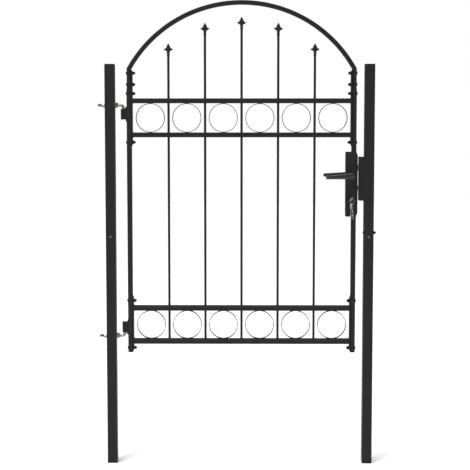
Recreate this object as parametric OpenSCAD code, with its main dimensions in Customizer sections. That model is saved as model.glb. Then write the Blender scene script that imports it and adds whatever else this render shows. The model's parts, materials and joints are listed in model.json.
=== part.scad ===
// Steel garden gate with an arched top, hung between two square posts.
// Millimetres. +Z is up, +X runs from the hinge post to the lock post and the front faces -Y.
// The origin is the centre of the hinge post's foot.

/* [Posts] */
// Side of each square post
post_w = 40; // [36:1:60]
// Height of a post with its end caps
post_h = 1674; // [1660:1:2100]
// Wall of a post
post_wall = 1.5; // [1:0.5:3]
// Clear opening between the posts
opening_w = 1032; // [960:1:1200]
// Flange of the caps on the posts
cap_flange = 4; // [2:0.5:6]
// Height of the small screw in each post's front
face_screw_z = 959; // [900:1:1000]
// Height of the bolt through the lock post
cross_bolt_z = 976; // [900:1:1010]

/* [Leaf] */
// Width of the leaf over its stiles
leaf_w = 950; // [900:1:980]
// Lowest point of the leaf
leaf_z = 472; // [440:1:480]
// Side of the square stiles
stile_w = 20; // [20:1:24]
// Wall of the stiles
stile_wall = 1; // [1:0.1:1.2]
// Top of the stiles
stile_top = 1571; // [1565:1:1575]
// Hinge gap between the post and the leaf
hinge_gap = 49; // [46:1:52]
// Thickness of the flat straps that carry the rails
strap_t = 4; // [3:0.5:5]

/* [Arch] */
// Top of the arch
arch_top = 1934; // [1925:1:1950]
// Outer radius of the arch
arch_r = 543; // [535:1:560]
// Side of the arch's square tube
arch_w = 17.8; // [16:0.1:17.8]
// Lower end of the arch's legs, inside the stiles
leg_z = 1515; // [1500:1:1530]

/* [Infill] */
// Height of a rail
rail_h = 20; // [16:1:22]
// Depth of a rail
rail_d = 30; // [25:1:32]
// Wall of a rail
rail_wall = 1.5; // [1:0.5:2]
// Outer diameter of the rings
ring_d = 120; // [110:1:124]
// Thickness of the rings' flat bar
ring_t = 2.5; // [2:0.5:4]
// Width of the rings' flat bar
ring_w = 12; // [8:1:20]
// Diameter of the upright bars
bar_d = 10; // [8:1:12]
// Number of upright bars
bar_count = 5; // [3:2:7]
// Distance from bar to bar
bar_pitch = 151; // [120:1:152]

/* [Hinges] */
// Diameter of the hinge bolts
pin_d = 12; // [10:1:14]
// Distance from the post's face to the swing axis
pin_reach = 35; // [33:1:36]
// Height of the upper hinge bolt
upper_pin_z = 1505; // [1495:1:1510]
// Height of the lower hinge bolt
lower_pin_z = 541; // [535:1:545]
// Length of bare thread behind the post's outer nut
thread_end = 17.5; // [10:0.5:30]

/* [Lock] */
// Width of the lock case
case_w = 43.5; // [43:0.5:48]
// Depth of the lock case
case_d = 40; // [38:1:44]
// Lower end of the lock case
case_z = 1044.5; // [1040:0.5:1046]
// Height of the lock case
case_h = 268; // [266:1:270]
// Height of the handle's axis
handle_z = 1214; // [1213:1:1215]
// Distance from the handle's axis down to the key's axis
key_drop = 92; // [91:1:93]
// Distance from the handle's axis to a lever's tip
lever_reach = 108; // [90:1:125]
// Distance from the gate's middle plane to a lever's middle
lever_y = 62; // [58:1:70]
// Travel of the latch bolt
latch_travel = 13; // [11:1:13]
// Angle at which the key stands, from upright
key_tilt = 28; // [20:1:30]

/* [Hidden] */
$fn = 48;

black = [0.16, 0.16, 0.17];
plastic = [0.08, 0.08, 0.085];
zinc = [0.72, 0.72, 0.68];
nickel = [0.60, 0.60, 0.59];
fit = 0.06;          // running clearance on a radius
cut = 1;             // how far a cutting shape runs past the face it cuts

// Posts and their fasteners
post_x = [0, post_w + opening_w];
inner_x = post_w / 2;
keep_x = post_x[1] - post_w / 2;
nut_h = 10;
nut_r = 19 / sqrt(3);
washer_t = 2.5;
washer_r = 12;
pin_hole_r = pin_d / 2 + 0.1;
m8_r = 4;
m8_hole_r = 4.2;
m8_nut_r = 13 / sqrt(3);

// Leaf
leaf_x = inner_x + hinge_gap;
leaf_end = leaf_x + leaf_w;
leaf_cx = leaf_x + leaf_w / 2;
plug_flange = 4;
strap_x = leaf_x + stile_w;
rail_x = strap_x + strap_t;
rail_len = leaf_w - 2 * (stile_w + strap_t);
band_h = ring_d + 0.4;
bottom_rail_z = 508.3;
upper_band_z = 1372.6;
rail_z = [bottom_rail_z, bottom_rail_z + rail_h + band_h, upper_band_z, upper_band_z + rail_h + band_h];
strap_z = [[leaf_z + 2, 710], [1335, 1650]];
stile_bolts = [490, 690, 1352, 1553];
leg_bolts = [1590, 1637];
dome_h = 4.5;

// Arch: one arc that cuts the upright legs at its springing
arch_cz = arch_top - arch_r;
leg_hw = leaf_w / 2 - stile_wall - (stile_w - 2 * stile_wall - arch_w) / 2;
arch_wall = 1;

// Bars: the tips follow a curve that is flatter than the arch
bar_end = (bar_count - 1) / 2;
mid_tip = 1867;
tip_drop = 24.5;
tip_curve = 5.2;
finial_h = 52;
socket_h = 18;
socket_deep = 12;

// Hinges
pin_x = inner_x + pin_reach;
bend_r = 12;
eye_r = 11;
eye_h = 44;
eye_gap = 3;
pin_in_eye = 38;

// Lock
case_x = leaf_end - case_w;
case_wall = 2;
forend_t = 5;
forend_z = [1052, 1306];
lock_x = case_x + case_w / 2 - 0.25;
key_z = handle_z - key_drop;
plate_t = 3;
plate_y = case_d / 2 + plate_t;
plate_z = [1074, 1289];
plate_w = 34;
plate_screws = [1081, 1282];
forend_screws = [1062, 1296];
neck_r = 9;
spindle_w = 8;
latch_z = handle_z + 33;
latch_h = 26;
latch_t = 12;
latch_out = 13;
dead_z = key_z + 39;
dead_h = 20;
dead_t = 10;
dead_out = 12;
cylinder_r = 8.5;
lobe_w = 10;
lobe_drop = 24.5;
cylinder_y = 30;
cam_gap = 5.2;
cam_r = 15;
plug_r = 6.5;
lever_t = 14;
hub_r = 12.5;

// Keeper
keeper_out = 22;
keeper_sheet = 2;
keeper_z = [1111, 1292];
keeper_lap = 20;
keeper_screw_z = [1279, 1138];
latch_mouth_h = latch_h + 4;
dead_mouth_h = dead_h + 4;

// Keys
key_t = 1.9;
bow_r = 12;
key_hole_r = 3.6;
hole_in = 7;
blade_w = 8;
ring_mean_r = 11;
ring_wire_r = 0.7;
ring_turn = 30;
ring_y = -(cylinder_y + 22.5);
spare_len = 48;
spare_splay = [3, 6];
spare_shift = 1.45;
spare_drop = 2 * ring_mean_r + key_hole_r - ring_wire_r - 0.2;

// ---- helpers ----

// A round bar along X from x0 to x1
module x_rod(r, x0, x1, z) translate([x0, 0, z]) rotate([0, 90, 0]) cylinder(r = r, h = x1 - x0);

// A round bar along Y from y0 to y1
module y_rod(r, y0, y1, x, z) translate([x, y0, z]) rotate([-90, 0, 0]) cylinder(r = r, h = y1 - y0);

// A box from its low corner to its high corner
module block(low, high) translate(low) cube(high - low);

// An outline drawn in X and Z, given a depth that is centred on Y
module xz_plate(depth) translate([0, depth / 2, 0]) rotate([90, 0, 0]) linear_extrude(depth) children();

// Upright square tube, centred on its axis
module square_tube(w, wall, h) {
    difference() {
        translate([-w / 2, -w / 2, 0]) cube([w, w, h]);
        translate([-w / 2 + wall, -w / 2 + wall, -cut]) cube([w - 2 * wall, w - 2 * wall, h + 2 * cut]);
    }
}

// Cap of a sphere, on a base of radius r
module dome(r, h) {
    ball_r = (r * r + h * h) / (2 * h);
    intersection() {
        translate([0, 0, h - ball_r]) sphere(ball_r);
        cylinder(r = r, h = h);
    }
}

// Plastic cap for a tube's end: a flange outside and a stub that fits inside
module end_cap(w, wall, flange, stub) {
    stub_w = w - 2 * wall - 0.2;
    translate([-w / 2, -w / 2, 0]) cube([w, w, flange]);
    translate([-stub_w / 2, -stub_w / 2, flange]) cube([stub_w, stub_w, stub]);
}

// Cap nut with its seat on z = 0 and a blind hole from below
module cap_nut(af_r, h, hole_r) {
    difference() {
        union() {
            cylinder(r = af_r, h = h * 0.5, $fn = 6);
            translate([0, 0, h * 0.5]) dome(af_r * 0.86, h * 0.5);
        }
        translate([0, 0, -cut]) cylinder(r = hole_r, h = h * 0.75 + cut);
    }
}

// Whatever is drawn for the hinge side, drawn again mirrored for the lock side
module both_sides() {
    children();
    mirror_to_lock() children();
}

module mirror_to_lock() translate([2 * leaf_cx, 0, 0]) mirror([1, 0, 0]) children();

// A coil spring along Z: wire of radius wire, n turns of mean radius r over height h
function coil_frame(r, a, rise) =
    let (t = [-r * sin(a), r * cos(a), rise])
    t / norm(t);

function coil_ring(r, wire, n, h, i, steps, sides) =
    let (
        a = 360 * n * i / steps,
        t = coil_frame(r, a, h / (2 * PI * n)),
        out = [cos(a), sin(a), 0],
        up = cross(t, out),
        c = [r * cos(a), r * sin(a), h * i / steps]
    )
    [for (k = [0 : sides - 1]) c + wire * (cos(360 * k / sides) * out + sin(360 * k / sides) * up)];

module coil(r, wire, n, h) {
    steps = 14 * n;
    sides = 6;
    points = [for (i = [0 : steps]) each coil_ring(r, wire, n, h, i, steps, sides)];
    wall = [
        for (i = [0 : steps - 1], k = [0 : sides - 1])
        let (a = i * sides + k, b = i * sides + (k + 1) % sides)
        [a, b, b + sides, a + sides]
    ];
    first = [for (k = [sides - 1 : -1 : 0]) k];
    last = [for (k = [0 : sides - 1]) steps * sides + k];
    polyhedron(points, concat(wall, [first, last]), convexity = 8);
}

// ---- posts ----

module post_tube(x) translate([x, 0, cap_flange]) square_tube(post_w, post_wall, post_h - 2 * cap_flange);

module hinge_post() color(black)
    difference() {
        post_tube(post_x[0]);
        for (z = [upper_pin_z, lower_pin_z]) x_rod(pin_hole_r, -post_w, post_w, z);
        y_rod(2.6, -post_w, 0, post_x[0], face_screw_z);
    }

module lock_post() color(black)
    difference() {
        post_tube(post_x[1]);
        x_rod(m8_hole_r, keep_x - cut, keep_x + post_w + cut, cross_bolt_z);
        for (z = keeper_screw_z) x_rod(2.6, keep_x - cut, keep_x + post_wall + cut, z);
        y_rod(2.6, -post_w, 0, post_x[1], face_screw_z);
    }

module post_caps() color(plastic)
    for (x = post_x) translate([x, 0, 0]) {
        end_cap(post_w, post_wall, cap_flange, 14);
        translate([0, 0, post_h]) mirror([0, 0, 1]) end_cap(post_w, post_wall, cap_flange, 14);
    }

// Low pan head on the post's front face and a short shank through its wall
module post_face_screws() color(zinc)
    for (x = post_x) {
        y_rod(2.5, -post_w / 2, -post_w / 2 + 9, x, face_screw_z);
        translate([x, -post_w / 2, face_screw_z]) rotate([90, 0, 0]) dome(5, 2.6);
    }

module cross_bolt() color(black) {
    x_rod(m8_r, keep_x, keep_x + post_w + 8, cross_bolt_z);
    translate([keep_x, 0, cross_bolt_z]) rotate([0, -90, 0]) dome(8, 4);
}

module cross_nut() color(black)
    translate([keep_x + post_w, 0, cross_bolt_z]) rotate([0, 90, 0]) cap_nut(m8_nut_r, 12, m8_r + fit);

// ---- hinges ----

// Threaded bolt through the post, bent down at the swing axis. It is drawn round its own level.
module bent_pin() {
    x_rod(pin_d / 2, -post_w / 2 - washer_t - nut_h - thread_end, pin_x - bend_r, 0);
    translate([pin_x - bend_r, 0, -bend_r]) rotate([90, 0, 0])
        rotate_extrude(angle = 90) translate([bend_r, 0]) circle(r = pin_d / 2);
    translate([pin_x, 0, -bend_r - eye_gap - pin_in_eye]) cylinder(r = pin_d / 2, h = eye_gap + pin_in_eye);
}

module hinge_pin_upper() color(zinc) translate([0, 0, upper_pin_z]) bent_pin();

module hinge_pin_lower() color(zinc) translate([0, 0, lower_pin_z]) mirror([0, 0, 1]) bent_pin();

// A nut or a washer on each side of the post, on each bolt
module on_pin_sides(x) for (z = [upper_pin_z, lower_pin_z], side = [-1, 1]) {
    translate([side > 0 ? inner_x + x : -inner_x - x, 0, z]) rotate([0, 90 * side, 0]) children();
}

module hinge_nuts() color(zinc)
    on_pin_sides(washer_t) difference() {
        cylinder(r = nut_r, h = nut_h, $fn = 6);
        translate([0, 0, -cut]) cylinder(r = pin_d / 2 + fit, h = nut_h + 2 * cut);
    }

module hinge_washers() color(zinc)
    on_pin_sides(0) difference() {
        cylinder(r = washer_r, h = washer_t);
        translate([0, 0, -cut]) cylinder(r = pin_d / 2 + fit, h = washer_t + 2 * cut);
    }

// Bored eye on a tapered web, with its mouth at z = 0 and the eye below
module hinge_eye() {
    web = leaf_x - pin_x;
    difference() {
        union() {
            translate([pin_x, 0, -eye_h]) cylinder(r = eye_r, h = eye_h);
            xz_plate(16) polygon([
                [pin_x, 0], [pin_x + web, 10], [pin_x + web, -eye_h - 14], [pin_x + web - 3.5, -eye_h - 4],
                [pin_x + web - 4, -eye_h], [pin_x, -eye_h]
            ]);
        }
        translate([pin_x, 0, -eye_h - cut]) cylinder(r = pin_d / 2 + fit, h = eye_h + 2 * cut);
        translate([pin_x - eye_r, -10, 0]) cube([eye_r + pin_d / 2 + 2, 20, 12]);
    }
}

module hinge_eye_upper() color(black) translate([0, 0, upper_pin_z - bend_r - eye_gap]) hinge_eye();

module hinge_eye_lower() color(black)
    translate([0, 0, lower_pin_z + bend_r + eye_gap]) mirror([0, 0, 1]) hinge_eye();

// ---- stiles, straps and arch ----

module bolt_holes(levels) for (z = levels) both_sides() x_rod(m8_hole_r, leaf_x - 5, rail_x + 5, z);

module stile(z0, z1) difference() {
    translate([leaf_x + stile_w / 2, 0, z0]) square_tube(stile_w, stile_wall, z1 - z0);
    bolt_holes(stile_bolts);
}

module hinge_stile() color(black) stile(leaf_z + plug_flange, stile_top);

module lock_stile_upper() color(black) mirror_to_lock() stile(case_z + case_h, stile_top);

module lock_stile_lower() color(black) mirror_to_lock() stile(leaf_z + plug_flange, case_z);

module stile_plugs() color(plastic)
    both_sides() translate([leaf_x + stile_w / 2, 0, leaf_z]) end_cap(stile_w, stile_wall, plug_flange, 8);

// Flat bar against a stile's inner face, with its free edge bevelled at both ends
module strap(span) difference() {
    xz_plate(rail_d) polygon([
        [strap_x, span[0]], [strap_x + 0.8, span[0]], [rail_x, span[0] + 12],
        [rail_x, span[1] - 12], [strap_x + 0.8, span[1]], [strap_x, span[1]]
    ]);
    for (z = concat(stile_bolts, leg_bolts)) x_rod(m8_hole_r, leaf_x, rail_x + cut, z);
}

module strap_lower_hinge() color(black) strap(strap_z[0]);
module strap_upper_hinge() color(black) strap(strap_z[1]);
module strap_lower_lock() color(black) mirror_to_lock() strap(strap_z[0]);
module strap_upper_lock() color(black) mirror_to_lock() strap(strap_z[1]);

// Filled outline of the arch: an arc over two upright sides, drawn inwards by inset
module arch_outline(inset) translate([leaf_cx, arch_cz]) intersection() {
    translate([-leg_hw + inset, leg_z - arch_cz - cut]) square([2 * (leg_hw - inset), arch_r * 2]);
    union() {
        circle(r = arch_r - inset, $fn = 180);
        translate([-arch_r, -arch_r]) square([2 * arch_r, arch_r]);
    }
}

module arch_band(outer, inner) difference() {
    arch_outline(outer);
    arch_outline(inner);
}

module arch() color(black) difference() {
    xz_plate(arch_w) arch_band(0, arch_w);
    xz_plate(arch_w - 2 * arch_wall) arch_band(arch_wall, arch_w - arch_wall);
    block([leaf_x - 5, -20, leg_z - 2 * cut], [leaf_end + 5, 20, leg_z]);
    bolt_holes(concat(stile_bolts, leg_bolts));
}

// ---- rails, rings, bars and finials ----

function bar_x(n) = leaf_cx + (n - bar_end) * bar_pitch;
function tip_z(n) = let (k = abs(n - bar_end)) mid_tip - tip_drop * k * k - tip_curve * (k > 1 ? k : 0);

// Hollow rail along X. The bars pass through it, or end in it when through is false.
module rail(z, through = true) difference() {
    block([rail_x, -rail_d / 2, z], [rail_x + rail_len, rail_d / 2, z + rail_h]);
    block(
        [rail_x - cut, -rail_d / 2 + rail_wall, z + rail_wall],
        [rail_x + rail_len + cut, rail_d / 2 - rail_wall, z + rail_h - rail_wall]
    );
    for (n = [0 : bar_count - 1])
        translate([bar_x(n), 0, through ? z - cut : z + rail_h / 2]) cylinder(r = bar_d / 2 + fit, h = rail_h + 2 * cut);
}

module bottom_rail() color(black) rail(rail_z[0], through = false);
module lower_band_rail() color(black) rail(rail_z[1]);
module upper_band_rail() color(black) rail(rail_z[2]);
module top_rail() color(black) rail(rail_z[3]);

// One ring in the middle of each cell of a band
module rings(z) for (n = [0 : bar_count])
    translate([bar_x(n) - bar_pitch / 2, 0, z + rail_h + band_h / 2]) xz_plate(ring_w) difference() {
        circle(d = ring_d, $fn = 96);
        circle(d = ring_d - 2 * ring_t, $fn = 96);
    }

module rings_lower() color(black) rings(rail_z[0]);
module rings_upper() color(black) rings(rail_z[2]);

module bar(n) color(black)
    translate([bar_x(n), 0, rail_z[0] + rail_wall])
        cylinder(r = bar_d / 2, h = tip_z(n) - finial_h + socket_deep - 0.2 - rail_z[0] - rail_wall);

module bar_1() bar(0);
module bar_2() bar(1);
module bar_3() bar(2);
module bar_4() bar(3);
module bar_5() bar(4);

// Spearhead: a pointed blade over two side barbs, measured down from the tip
half_spear = [
    [3.5, -5], [8.5, -15.5], [8.2, -18.5], [12, -20.5], [17.5, -22], [18.5, -24.5],
    [16, -27.5], [10, -30], [6.5, -33], [6, -36]
];

module finial() {
    xz_plate(8) polygon(concat(
        [[0, 0]], half_spear, [for (i = [len(half_spear) - 1 : -1 : 0]) [-half_spear[i][0], half_spear[i][1]]]
    ));
    difference() {
        translate([0, 0, -finial_h]) cylinder(r = 6, h = socket_h);
        translate([0, 0, -finial_h - cut]) cylinder(r = bar_d / 2 + fit, h = socket_deep + cut);
    }
}

module finials() color(black) for (n = [0 : bar_count - 1]) translate([bar_x(n), 0, tip_z(n)]) finial();

// ---- frame fasteners ----

// Places children with x = 0 at the outer face of the stile, or of the arch's leg above it
module at_outer_face() both_sides() {
    for (z = stile_bolts) translate([leaf_x, 0, z]) children();
    for (z = leg_bolts) translate([leaf_cx - leg_hw, 0, z]) children();
}

// Places children at the inner face of the strap
module at_inner_face(x) both_sides()
    for (z = concat(stile_bolts, leg_bolts)) translate([rail_x + x, 0, z]) rotate([0, 90, 0]) children();

module frame_bolts() color(black) at_outer_face() {
    rotate([0, -90, 0]) dome(8, dome_h);
    x_rod(m8_r, 0, stile_w + strap_t + 7, 0);
}

module frame_nuts() color(black) at_inner_face(1.6) cap_nut(m8_nut_r, 11, m8_r + fit);

module frame_washers() color(black) at_inner_face(0) difference() {
    cylinder(r = 8, h = 1.6);
    translate([0, 0, -cut]) cylinder(r = m8_r + fit, h = 1.6 + 2 * cut);
}

// ---- lock case ----

// Profile of the lock cylinder, looking along Y: a circle over a lobe
module cylinder_profile(grow) translate([lock_x, key_z]) {
    circle(r = cylinder_r + grow);
    translate([-lobe_w / 2 - grow, -lobe_drop + lobe_w / 2]) square([lobe_w + 2 * grow, lobe_drop - lobe_w / 2]);
    translate([0, -lobe_drop + lobe_w / 2]) circle(r = lobe_w / 2 + grow);
}

// Folded case, open towards the lock post, with a screw lug at each end
module lock_case() color(black) difference() {
    union() {
        difference() {
            block([case_x, -case_d / 2, case_z], [leaf_end, case_d / 2, case_z + case_h]);
            block(
                [case_x + case_wall, -case_d / 2 + case_wall, case_z + case_wall],
                [leaf_end + cut, case_d / 2 - case_wall, case_z + case_h - case_wall]
            );
        }
        block([leaf_end - 14, -6, case_z + case_wall], [leaf_end, 6, forend_screws[0] + 6]);
        block([leaf_end - 14, -6, forend_screws[1] - 6], [leaf_end, 6, case_z + case_h - case_wall]);
    }
    y_rod(neck_r + fit, -case_d, case_d, lock_x, handle_z);
    xz_plate(2 * case_d) cylinder_profile(0.2);
    for (z = plate_screws) y_rod(2.1, -case_d, case_d, lock_x, z);
    for (z = forend_screws) x_rod(2.1, leaf_end - 12, leaf_end + cut, z);
}

module lock_forend() color(black) difference() {
    xz_plate(34) polygon([
        [leaf_end, forend_z[0]], [leaf_end + 2, forend_z[0]], [leaf_end + forend_t, forend_z[0] + 8],
        [leaf_end + forend_t, forend_z[1] - 8], [leaf_end + 2, forend_z[1]], [leaf_end, forend_z[1]]
    ]);
    block([leaf_end - cut, -latch_t / 2 - 0.2, latch_z - latch_h / 2 - 0.2],
        [leaf_end + forend_t + cut, latch_t / 2 + 0.2, latch_z + latch_h / 2 + 0.2]);
    block([leaf_end - cut, -dead_t / 2 - 0.2, dead_z - dead_h / 2 - 0.2],
        [leaf_end + forend_t + cut, dead_t / 2 + 0.2, dead_z + dead_h / 2 + 0.2]);
    for (z = forend_screws) x_rod(2.1, leaf_end - cut, leaf_end + forend_t + cut, z);
    x_rod(2.6, leaf_end - cut, leaf_end + forend_t + cut, key_z - 20);
}

module lock_screws() color(black) {
    for (z = forend_screws) {
        x_rod(2, leaf_end - 11, leaf_end + forend_t, z);
        translate([leaf_end + forend_t, 0, z]) rotate([0, 90, 0]) dome(4, 1.6);
    }
    for (z = plate_screws, side = [-1, 1]) {
        y_rod(2, min(side * plate_y, side * (case_d / 2 - 6)), max(side * plate_y, side * (case_d / 2 - 6)), lock_x, z);
        translate([lock_x, side * plate_y, z]) rotate([-90 * side, 0, 0]) dome(4, 1.6);
    }
}

// Long plate with rounded ends. It lies on the case's face.
module escutcheon(side) {
    end_r = 6;
    y0 = side * (case_d / 2 + plate_t / 2);
    translate([0, y0, 0]) xz_plate(plate_t) difference() {
        union() {
            translate([lock_x - plate_w / 2 + end_r, plate_z[0]])
                square([plate_w - 2 * end_r, plate_z[1] - plate_z[0]]);
            translate([lock_x - plate_w / 2, plate_z[0] + end_r])
                square([plate_w, plate_z[1] - plate_z[0] - 2 * end_r]);
            for (x = [-1, 1], z = [plate_z[0] + end_r, plate_z[1] - end_r])
                translate([lock_x + x * (plate_w / 2 - end_r), z]) circle(r = end_r);
        }
        translate([lock_x, handle_z]) circle(r = neck_r + fit);
        for (z = plate_screws) translate([lock_x, z]) circle(r = 2.1);
        cylinder_profile(0.2);
    }
}

module escutcheon_front() color(black) escutcheon(-1);
module escutcheon_back() color(black) escutcheon(1);

// Profile cylinder, open in the middle where its cam turns
module cylinder_body() color(nickel) difference() {
    xz_plate(2 * cylinder_y) cylinder_profile(0);
    y_rod(plug_r + fit, -cylinder_y - cut, cylinder_y + cut, lock_x, key_z);
    block([lock_x - 12, -cam_gap, key_z - cam_r - 1], [lock_x + 12, cam_gap, key_z + 12]);
    x_rod(2.6, lock_x - 4, lock_x + 12, key_z - 20);
}

module cylinder_screw() color(zinc) {
    x_rod(2.5, lock_x - 4, leaf_end + forend_t, key_z - 20);
    translate([leaf_end + forend_t, 0, key_z - 20]) rotate([0, 90, 0]) dome(4.5, 1.6);
}

// Torsion spring round the follower, beside its arm
module follower_spring() color(zinc)
    translate([lock_x, 5.5, handle_z]) rotate([-90, 0, 0]) coil(10.6, 0.8, 4, 8);

// Compression spring behind the latch bolt
module latch_spring() color(zinc)
    translate([case_x + case_wall + 0.9, 0, latch_z]) rotate([0, 90, 0]) coil(3.6, 0.6, 5, latch_back - case_x - 4);

// ---- handle, latch and dead bolt ----

latch_back = lock_x - 3;

// Round neck in the plate and a flat lever that points towards the hinges, for the front face.
// tip_low and tip_high are its tip's edges above the axis
module handle_at(side, tip_low, tip_high) scale([1, side, 1]) difference() {
    union() {
        y_rod(neck_r, -lever_y, -case_d / 2 + case_wall, lock_x, handle_z);
        translate([0, -lever_y, 0]) xz_plate(lever_t) {
            translate([lock_x, handle_z]) circle(r = hub_r);
            polygon([
                [lock_x, handle_z - hub_r], [lock_x, handle_z + hub_r],
                [lock_x - lever_reach + 3, handle_z + tip_high], [lock_x - lever_reach, handle_z + tip_high - 2.5],
                [lock_x - lever_reach + 1, handle_z + tip_low + 1.5], [lock_x - lever_reach + 3, handle_z + tip_low]
            ]);
        }
    }
    spindle_bar(0.05, lever_y - 2);
}

// Square bar of the spindle, from -reach to +reach
module spindle_bar(grow, reach) {
    half = spindle_w / 2 + grow;
    block([lock_x - half, -reach, handle_z - half], [lock_x + half, reach, handle_z + half]);
}

// The front lever is straight below and slopes above, and the back one tapers evenly
module handle_front() color(black) handle_at(1, -12.3, 1.5);
module handle_back() color(black) handle_at(-1, -7.5, 6.5);
module spindle() color(zinc) spindle_bar(0, lever_y - 3);

// Hub with an arm that leans towards the lock post at rest and draws the latch bolt back
module follower() color(zinc) difference() {
    union() {
        y_rod(neck_r, -17.5, 17.5, lock_x, handle_z);
        translate([lock_x, 0, handle_z]) rotate([0, 20, 0]) block([-3, -3, 0], [3, 3, 22]);
    }
    spindle_bar(0.05, 20);
}

// Bevelled head, a tail over the follower's arm, and a lug in front of the arm
module latch_bolt() color(zinc) {
    head_x = leaf_end - 11;
    tip_x = leaf_end + forend_t + latch_out;
    translate([0, 0, latch_z - latch_h / 2]) linear_extrude(latch_h) polygon([
        [head_x, -latch_t / 2], [tip_x, -latch_t / 2], [tip_x, -latch_t / 4],
        [tip_x - latch_out + 2, latch_t / 2], [head_x, latch_t / 2]
    ]);
    block([latch_back, -3, latch_z - 7], [head_x, 3, latch_z + 5]);
    block([latch_back, -3, latch_z - 20], [latch_back + 4, 3, latch_z - 7]);
}

// Square bolt with a talon that reaches down to the cam's circle
module dead_bolt() color(zinc) {
    block([lock_x - 7, -dead_t / 2, dead_z - dead_h / 2],
        [leaf_end + forend_t + dead_out, dead_t / 2, dead_z + dead_h / 2]);
    block([lock_x - 7, -3, key_z + cam_r + 1], [lock_x + 1, 3, dead_z - dead_h / 2]);
}

// ---- cylinder plug and keys ----

// Turns what is drawn round the key's axis, from upright to where the key stands
module at_key() translate([lock_x, 0, key_z]) rotate([0, key_tilt, 0]) children();

// Round plug through the cylinder with its cam in the middle and a keyway in front
module cylinder_plug() color(nickel) at_key() difference() {
    union() {
        translate([0, -cylinder_y - 0.5, 0]) rotate([-90, 0, 0]) cylinder(r = plug_r, h = 2 * cylinder_y + 1);
        block([-4, -cam_gap + 0.4, 0], [4, cam_gap - 0.4, cam_r]);
    }
    block([-1.25, -cylinder_y - cut, -4.2], [1.25, -cam_gap - 1, 4.2]);
}

// Flat key outline with its blade down and its bow's middle at 0, 0
module key_outline(blade) difference() {
    union() {
        circle(r = bow_r);
        translate([-blade_w / 2, -bow_r - blade]) square([blade_w, blade + bow_r]);
        translate([-blade_w / 4, -bow_r - blade - 2]) square([blade_w / 2, 3]);
    }
    translate([0, hole_in]) circle(r = key_hole_r);
}

// The key's blade runs into the plug along +Y
module key_in_lock() color(nickel) at_key()
    translate([0, ring_y + hole_in, 0]) rotate([90, 0, 0]) rotate([0, 90, 0])
        translate([0, 0, -key_t / 2]) linear_extrude(key_t) rotate(90) key_outline(20);

// The ring stands between the key's hole and the spare keys' holes, turned half way between them
module key_ring() color(nickel)
    translate([lock_x, ring_y, key_z - ring_mean_r]) rotate([0, 0, -ring_turn]) rotate([90, 0, 0])
        rotate_extrude() translate([ring_mean_r, 0]) circle(r = ring_wire_r);

// A spare key hangs on the ring's lowest point, side on to the wire, and leans away from the other
module spare_key(side, splay)
    translate([
        lock_x - side * spare_shift * cos(ring_turn), ring_y + side * spare_shift * sin(ring_turn),
        key_z - spare_drop
    ])
        rotate([0, 0, 90 - ring_turn]) rotate([side * splay, 0, 0]) translate([0, 0, -hole_in])
            xz_plate(key_t) key_outline(spare_len - bow_r + hole_in);

module spare_key_left() color(nickel) spare_key(1, spare_splay[0]);
module spare_key_right() color(nickel) spare_key(-1, spare_splay[1]);

// ---- keeper ----

// Box on the lock post with a mouth for each bolt, and cheeks that lap the post's faces
module keeper() color(black) {
    x0 = keep_x - keeper_out;
    in_y = post_w / 2 + 0.1;
    out_y = in_y + keeper_sheet;
    difference() {
        block([x0, -out_y, keeper_z[0]], [keep_x + keeper_lap, out_y, keeper_z[1]]);
        block([x0 + keeper_sheet, -in_y, keeper_z[0] + keeper_sheet], [keep_x, in_y, keeper_z[1] - keeper_sheet]);
        block([keep_x, -in_y, keeper_z[0] - cut], [keep_x + keeper_lap + cut, in_y, keeper_z[1] + cut]);
        block([x0 - cut, -latch_t / 2 - 2, latch_z - latch_mouth_h / 2],
            [x0 + keeper_sheet + cut, latch_t / 2 + 2, latch_z + latch_mouth_h / 2]);
        block([x0 - cut, -dead_t / 2 - 2, dead_z - dead_mouth_h / 2],
            [x0 + keeper_sheet + cut, dead_t / 2 + 2, dead_z + dead_mouth_h / 2]);
        for (z = keeper_screw_z) x_rod(2.6, x0 - cut, x0 + keeper_sheet + cut, z);
    }
}

module keeper_screws() color(zinc) for (z = keeper_screw_z) {
    x_rod(2.5, keep_x - keeper_out, keep_x + 8, z);
    translate([keep_x - keeper_out, 0, z]) rotate([0, -90, 0]) dome(4.5, 2.4);
}

hinge_post();
lock_post();
post_caps();
post_face_screws();
cross_bolt();
cross_nut();
hinge_pin_upper();
hinge_pin_lower();
hinge_nuts();
hinge_washers();
keeper();
keeper_screws();
hinge_stile();
lock_stile_upper();
lock_stile_lower();
stile_plugs();
arch();
strap_upper_hinge();
strap_lower_hinge();
strap_upper_lock();
strap_lower_lock();
bottom_rail();
lower_band_rail();
upper_band_rail();
top_rail();
bar_1();
bar_2();
bar_3();
bar_4();
bar_5();
finials();
rings_lower();
rings_upper();
frame_bolts();
frame_nuts();
frame_washers();
hinge_eye_upper();
hinge_eye_lower();
lock_case();
lock_forend();
lock_screws();
escutcheon_front();
escutcheon_back();
cylinder_body();
cylinder_screw();
follower_spring();
latch_spring();
handle_front();
handle_back();
spindle();
follower();
latch_bolt();
dead_bolt();
cylinder_plug();
key_in_lock();
key_ring();
spare_key_left();
spare_key_right();
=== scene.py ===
"""Arched steel garden gate between two square posts: its looks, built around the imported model."""
import json
import math
import random

import bmesh
import bpy
from mathutils import Matrix, Vector


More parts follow.
